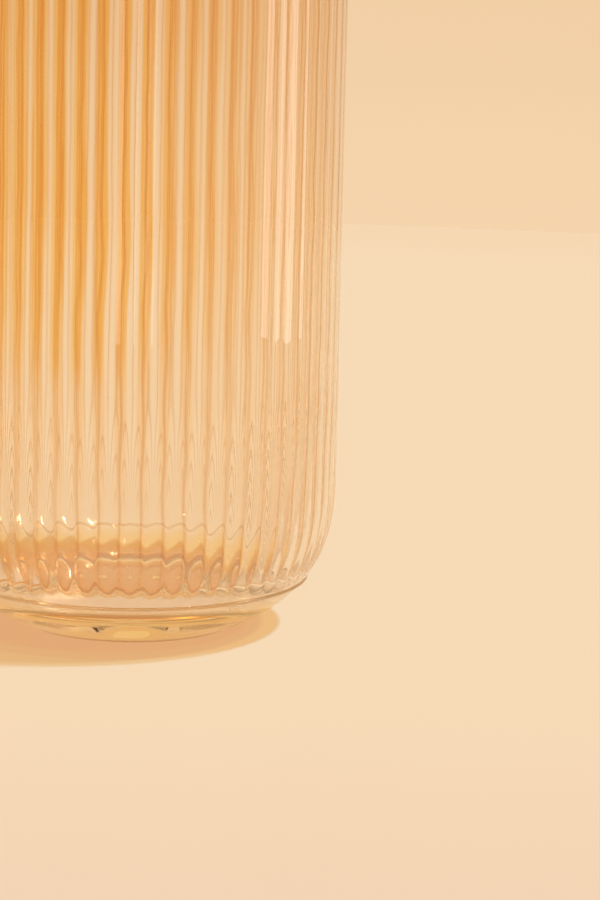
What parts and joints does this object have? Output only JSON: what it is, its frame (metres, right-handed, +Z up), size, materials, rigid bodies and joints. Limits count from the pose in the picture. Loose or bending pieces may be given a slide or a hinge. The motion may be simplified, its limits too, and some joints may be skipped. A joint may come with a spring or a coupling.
{
  "type": "glass vase",
  "caption": "Tall cylindrical vase in clear amber glass, reeded outside, with a rounded shoulder, a thick smooth base and a ground foot.",
  "frame": {"origin": "centre of the resting ring, on the surface the vase stands on", "axes": "+Z up along the axis of the vase, -Y through the crest of a reed"},
  "size_m": [0.12, 0.12, 0.25],
  "materials": {
    "amber_glass": "clear, fire-polished",
    "thick_amber_glass": "clear, smooth, deeper in colour because it is thick",
    "ground_glass": "ground flat, slightly frosted",
    "polished_glass": "cut and polished"
  },
  "bodies": {
    "root": {"ribbed_wall": "amber_glass", "rim_lip": "amber_glass", "seam_thread": "amber_glass", "base_cup": "thick_amber_glass", "foot_ring": "ground_glass", "pontil_pad": "polished_glass"}
  },
  "joints": []
}
